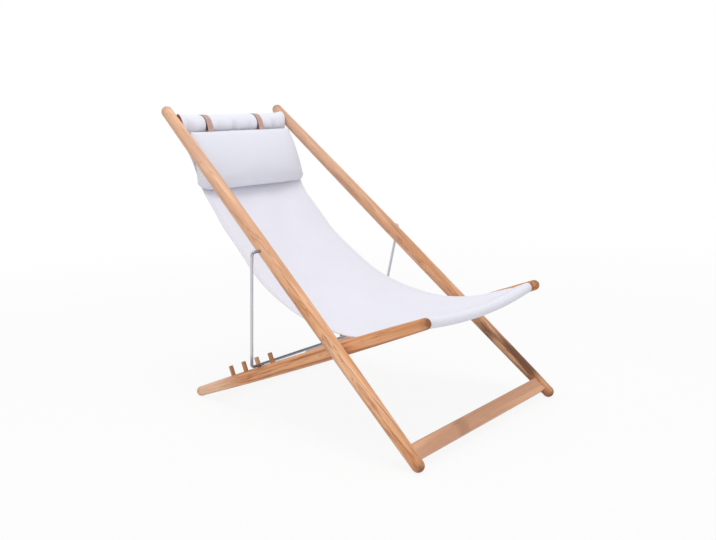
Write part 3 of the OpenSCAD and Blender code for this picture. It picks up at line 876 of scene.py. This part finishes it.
# %% The pillow's form
PILLOW_TOP = TOP_BAR - Vector((0.036, 0.032))
PILLOW_LEAN = math.radians(109)
DOWN = Vector((math.cos(PILLOW_LEAN), -math.sin(PILLOW_LEAN)))
OUT = Vector((-math.sin(PILLOW_LEAN), -math.cos(PILLOW_LEAN)))
PILLOW_W, PILLOW_LEN, PILLOW_T = 0.426, 0.165, 0.048


def fat(v):
    return math.sqrt(max(0.0, math.sin(math.pi * v ** 1.2)))


def full(u, power):
    return max(0.0, 1 - abs(u) ** power) ** 0.55


def pillow_half(v):
    return PILLOW_W / 2 - 0.005 * (1 - v) ** 8 - 0.015 * (1 - v ** 2.2)


def pillow_point(u, v, side):
    """side 1 is the sitter's side, -1 the sling's, and 0 the seam, whose lower
    corners hang back."""
    n = v * (0.003 - 0.012 * abs(u) ** 3)
    n += side * PILLOW_T / 2 * full(u, 8 if side > 0 else 6) * fat(v)
    p = PILLOW_TOP + DOWN * (v * PILLOW_LEN * (1 - 0.134 * abs(u) ** 14)) + OUT * n
    return Vector((u * pillow_half(v), p.x, p.y))


def spacing(count):
    """Shares from 0 to 1 that lie closer together at both ends."""
    even = [i / count for i in range(count + 1)]
    return [0.35 * e + 0.65 * (0.5 - 0.5 * math.cos(math.pi * e)) for e in even]


print("pillow", PILLOW_W, "x", PILLOW_LEN, "m")

# %% Sew the two panels together
def build_pillow(across=76, down=36):
    """The pillow, the points in its seam and those in the seam's top run."""
    us = [2 * k - 1 for k in spacing(across)]
    vs = spacing(down)
    verts, faces, uvs, place = [], [], [], {}
    for side in (1, -1):
        for j, v in enumerate(vs):
            for i, u in enumerate(us):
                rim = i in (0, across) or j in (0, down)
                if side < 0 and rim:
                    place[side, i, j] = place[1, i, j]
                    continue
                place[side, i, j] = len(verts)
                verts.append(pillow_point(u, v, 0 if rim else side))
                uvs.append((u * pillow_half(v), v * PILLOW_LEN))
    for side in (1, -1):
        for j in range(down):
            for i in range(across):
                q = [place[side, i, j], place[side, i, j + 1], place[side, i + 1, j + 1],
                     place[side, i + 1, j]]
                faces.append(q if side > 0 else q[::-1])
    mesh = bpy.data.meshes.new("head_pillow")
    mesh.from_pydata([tuple(v) for v in verts], [], faces)
    uv = mesh.uv_layers.new(name="cloth")
    for loop in mesh.loops:
        uv.data[loop.index].uv = uvs[loop.vertex_index]
    obj = bpy.data.objects.new("head_pillow", mesh)
    bpy.context.collection.objects.link(obj)
    rim_points = {place[1, i, j] for i in range(across + 1) for j in range(down + 1)
                  if i in (0, across) or j in (0, down)}
    top_points = {place[1, i, 0] for i in range(across + 1)}
    return obj, sorted(rim_points), sorted(top_points)


pillow, rim_points, top_points = build_pillow()
print("pillow panels:", len(pillow.data.polygons), "faces,", len(rim_points), "points in the seam")

# %% [markdown]
# Blender's Cloth fills the pillow: pressure pushes both panels out while the
# top seam is held, and the cloth's own stiffness draws small puckers along
# the seams. Gravity stays off, and no point may move further than a few
# millimetres, so the pillow keeps its place in front of the sling. The back
# may hardly move, because the sling is behind it.

# %% Fill the pillow
FRONT_CAP, BACK_CAP, FILL_FRAMES = 0.003, 0.0012, 20


def fill_pillow(obj, held):
    start = [v.co.copy() for v in obj.data.vertices]
    group = obj.vertex_groups.new(name="held")
    group.add(held, 1.0, "REPLACE")
    cloth = obj.modifiers.new("filling", "CLOTH")
    how = cloth.settings
    how.use_pressure = True
    how.uniform_pressure_force = 4.0
    how.effector_weights.gravity = 0
    how.vertex_group_mass = "held"
    how.quality = 6
    how.tension_stiffness = how.compression_stiffness = 12
    how.shear_stiffness = 5
    how.bending_stiffness = 0.4
    cloth.collision_settings.use_collision = False
    for step in range(1, FILL_FRAMES + 1):
        bpy.context.scene.frame_set(step)
    seen = obj.evaluated_get(bpy.context.evaluated_depsgraph_get())
    filled = [v.co.copy() for v in seen.data.vertices]
    obj.modifiers.remove(cloth)
    obj.vertex_groups.remove(group)
    bpy.context.scene.frame_set(1)
    furthest = 0.0
    for vert, a, b in zip(obj.data.vertices, start, filled):
        move = b - a
        cap = FRONT_CAP if move.y * OUT.x + move.z * OUT.y > 0 else BACK_CAP
        if move.length > cap:
            move *= cap / move.length
        vert.co = a + move
        furthest = max(furthest, move.length)
    return furthest


print("filled, furthest move", round(fill_pillow(pillow, top_points) * 1000, 1), "mm")

# %% [markdown]
# The sewn edge stands out as a thin ridge all round. One level of
# subdivision rounds the grid, with the seam kept crisp.

# %% Finish the pillow's seam
def ridge(obj, points, out=0.0012):
    mesh = obj.data
    middle = sum((v.co for v in mesh.vertices), Vector()) / len(mesh.vertices)
    for i in points:
        away = mesh.vertices[i].co - middle
        mesh.vertices[i].co += Vector((away.x * 0.6, away.y, away.z)).normalized() * out
    marks = mesh.attributes.new("crease_edge", "FLOAT", "EDGE")
    on_rim = set(points)
    for edge in mesh.edges:
        if edge.vertices[0] in on_rim and edge.vertices[1] in on_rim:
            marks.data[edge.index].value = 0.75


ridge(pillow, rim_points)
smooth = pillow.modifiers.new("smooth", "SUBSURF")
smooth.levels = smooth.render_levels = 1
pick(pillow)
bpy.ops.object.modifier_apply(modifier="smooth")
bpy.ops.object.shade_smooth()
# The pillow's canvas is a slightly darker copy of the sling's: painted shade for its less lit
# faces.
pillow.data.materials.append(canvas("pillow_canvas_painted_shade", srgb(232, 233, 243), srgb(208, 210, 222)))
print("pillow:", len(pillow.data.polygons), "faces")

# %% [markdown]
# ## The leather straps
# Each strap is one band of leather that goes round the bar inside its window
# and comes together in front, where both ends are sewn into the pillow's top
# seam. Its upper run lies over the sleeve's soft fold. A circle is opened
# into this loop, extruded to the strap's width and given its thickness, and
# its cut edges are rounded over.

# %% The strap's loop
STRAP_W, STRAP_T = 0.020, 0.0019
STRAP_R = TOP_R + 0.0004 + STRAP_T / 2
STRAP_TIP = (PILLOW_TOP - TOP_BAR) * 0.985
TIP_AT = math.degrees(math.atan2(STRAP_TIP.y, STRAP_TIP.x)) % 360
UNDER_AT = TIP_AT + math.degrees(math.acos(STRAP_R / STRAP_TIP.length))
TOP_AT = LOOSE_FROM - 4
LEAVE = ray(TOP_AT) * STRAP_R
UPPER_RUN = (LEAVE, LEAVE + ray(TOP_AT + 90) * 0.030, STRAP_TIP + Vector((0.004, 0.018)),
             STRAP_TIP + Vector((-0.0004, 0.0009)))
LOWER_TIP = STRAP_TIP + Vector((0.0009, -0.0009))


def strap_point(a):
    """Side view point, from the bar's middle, for the point at angle a of the circle."""
    if TOP_AT < a <= TIP_AT:
        return four_pulls((a - TOP_AT) / (TIP_AT - TOP_AT), UPPER_RUN)
    if TIP_AT < a < UNDER_AT:
        return LOWER_TIP.lerp(ray(UNDER_AT) * STRAP_R, (a - TIP_AT) / (UNDER_AT - TIP_AT))
    return ray(a) * STRAP_R


print("strap leaves the bar at", TOP_AT, "degrees and comes back at", round(UNDER_AT))

# %% Shape the straps
STRAP_STEPS = 6


def build_strap(name, x):
    bpy.ops.object.select_all(action="DESELECT")
    bpy.ops.mesh.primitive_circle_add(vertices=96, radius=STRAP_R)
    strap = bpy.context.object
    strap.name = name
    for vert in strap.data.vertices:
        p = TOP_BAR + strap_point(math.degrees(math.atan2(vert.co.y, vert.co.x)) % 360)
        vert.co = (x - STRAP_W / 2, p.x, p.y)
    pick(strap)
    bpy.ops.object.mode_set(mode="EDIT")
    bpy.ops.mesh.select_all(action="SELECT")
    for _ in range(STRAP_STEPS):
        bpy.ops.mesh.extrude_region_move(
            TRANSFORM_OT_translate={"value": (STRAP_W / STRAP_STEPS, 0, 0)})
    bpy.ops.mesh.select_all(action="SELECT")
    bpy.ops.mesh.normals_make_consistent(inside=False)
    bpy.ops.object.mode_set(mode="OBJECT")
    wall = strap.modifiers.new("leather", "SOLIDIFY")
    wall.thickness = STRAP_T
    wall.offset = 0
    bpy.ops.object.modifier_apply(modifier="leather")
    round_over = strap.modifiers.new("edges", "BEVEL")
    round_over.width = 0.0005
    round_over.segments = 2
    round_over.limit_method = "ANGLE"
    round_over.angle_limit = math.radians(60)
    bpy.ops.object.modifier_apply(modifier="edges")
    bpy.ops.object.shade_smooth_by_angle(angle=math.radians(45))
    return strap


straps = [build_strap("strap_near", STRAP_XS[0]), build_strap("strap_far", STRAP_XS[1])]
print("straps:", [len(s.data.polygons) for s in straps])

# %% [markdown]
# The leather is undyed and has gone a rosy brown. It has a fine pebbled
# grain, a row of sewing inside each edge, and painted shade along the edges.

# %% The leather recipe
LEATHER, LEATHER_SHADE = srgb(206, 172, 162), srgb(176, 138, 128)
PAINTED_EDGE_SHADE, LINEN_THREAD = srgb(96, 60, 46), srgb(224, 198, 170)


def leather(name, x):
    b = Book(name)
    where = b.node("ShaderNodeTexCoord").out("Object")
    across, _, height = b.split(where)
    from_middle = (across - x).call("ABSOLUTE")
    pebble = b.node("ShaderNodeTexVoronoi", {"feature": "DISTANCE_TO_EDGE"}, {
        "Vector": where, "Scale": 900.0}).out(0)
    patch = b.noise(where, 90.0, 4.0)
    # Painted shade: a thin dark band along both edges of the strap.
    edge = b.step(from_middle, STRAP_W / 2 - 0.0016, STRAP_W / 2 - 0.0002)
    line = b.step((from_middle - (STRAP_W / 2 - 0.003)).call("ABSOLUTE"),
                  0.0003, 0.0006, 1.0, 0.0)
    sewn = line * (height * 260.0).call("FRACT").call("LESS_THAN", 0.75)
    colour = b.blend(b.blend(LEATHER, LEATHER_SHADE, patch), PAINTED_EDGE_SHADE, edge * 0.85)
    b.feed(Base_Color=b.blend(colour, LINEN_THREAD, sewn * 0.8),
           Roughness=0.52 + patch * 0.12, Specular_IOR_Level=0.4,
           Normal=b.bump(pebble * 0.7 - sewn * 0.5 - edge * 0.4, 0.0003, 0.5))
    return b.material


for strap, x in zip(straps, STRAP_XS):
    strap.data.materials.append(leather("leather_" + strap.name, x))
print("leather on both straps")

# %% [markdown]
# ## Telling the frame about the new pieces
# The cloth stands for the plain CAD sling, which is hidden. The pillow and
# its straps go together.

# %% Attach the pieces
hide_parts("sling")
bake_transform(sling)
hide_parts("pillow")
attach(pillow, "pillow")
for strap, node in zip(straps, ("pillow_strap_left", "pillow_strap_right")):
    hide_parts(node)
    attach(strap, "pillow")
print("pieces attached")

# %% [markdown]
# ## Floor and light
# The chair stands on a plain pale floor and the background is white. The
# floor shows the camera mostly white and keeps a part of its own shading,
# so the soft shadow under the chair stays.

# %% The pale floor
NEAR_WHITE, FAR_WHITE = 0.88, 1.0


def seen_by_eye_or_mirror(tree):
    """1 for a ray from the camera or from a shiny or clear surface, and 0 for light."""
    path = tree.nodes.new("ShaderNodeLightPath")
    total = path.outputs["Is Camera Ray"]
    for name in ("Is Glossy Ray", "Is Transmission Ray"):
        most = tree.nodes.new("ShaderNodeMath")
        most.operation = "MAXIMUM"
        tree.links.new(total, most.inputs[0])
        tree.links.new(path.outputs[name], most.inputs[1])
        total = most.outputs[0]
    return total


bpy.ops.mesh.primitive_plane_add(size=400, location=(0, 0, -0.0005))
floor = bpy.context.object
floor.name = "studio_floor"
page = Book("pale_floor")
page.feed(Base_Color=(0.80, 0.80, 0.80, 1), Roughness=0.9, Specular_IOR_Level=0.0)
where = page.node("ShaderNodeTexCoord").out("Object")
reach = page.node("ShaderNodeVectorMath", {"operation": "LENGTH"}, {0: where}).out("Value")
white = page.step(reach, 1.0, 3.5, NEAR_WHITE, FAR_WHITE)
share = Value(page, seen_by_eye_or_mirror(page.tree)) * white
shown = Value(page, page.shader.outputs[0])
glow = page.node("ShaderNodeEmission").out(0)
mix = page.node("ShaderNodeMixShader", {}, {0: share, 1: shown, 2: glow}).out(0)
end = next(n for n in page.tree.nodes if n.type == "OUTPUT_MATERIAL")
page.put(mix, end.inputs[0])
floor.data.materials.append(page.material)
print("floor ready")

# %% [markdown]
# Most light comes from a wide panel overhead, which leaves the undersides of
# the pillow and of the front sleeve greyer than the cloth on top. A weaker
# panel stands on the camera's side, and an even white surround fills the
# rest.

# %% Surround and lamps
SURROUND = 0.76

world = bpy.data.worlds.new("studio")
bpy.context.scene.world = world
world.use_nodes = True
tree = world.node_tree
back = tree.nodes["Background"]
back.inputs[0].default_value = (1, 1, 1, 1)
level = tree.nodes.new("ShaderNodeMapRange")
level.inputs["To Min"].default_value = SURROUND
level.inputs["To Max"].default_value = 1.0
tree.links.new(seen_by_eye_or_mirror(tree), level.inputs["Value"])
tree.links.new(level.outputs[0], back.inputs[1])


def panel(name, size, power, place, aim):
    bpy.ops.object.light_add(type="AREA", location=place)
    lamp = bpy.context.object
    lamp.name = name
    lamp.data.shape = "DISK"
    lamp.data.size = size
    lamp.data.energy = power
    lamp.rotation_euler = (Vector(aim) - Vector(place)).to_track_quat("-Z", "Y").to_euler()


panel("overhead_panel", 1.5, 25, (-0.3, -0.3, 3.2), (0, 0, 0.3))
panel("camera_side_panel", 2.0, 14, (-3.0, -2.2, 1.4), (0, 0, 0.4))
bpy.context.scene.view_settings.view_transform = "Standard"
print("studio ready")
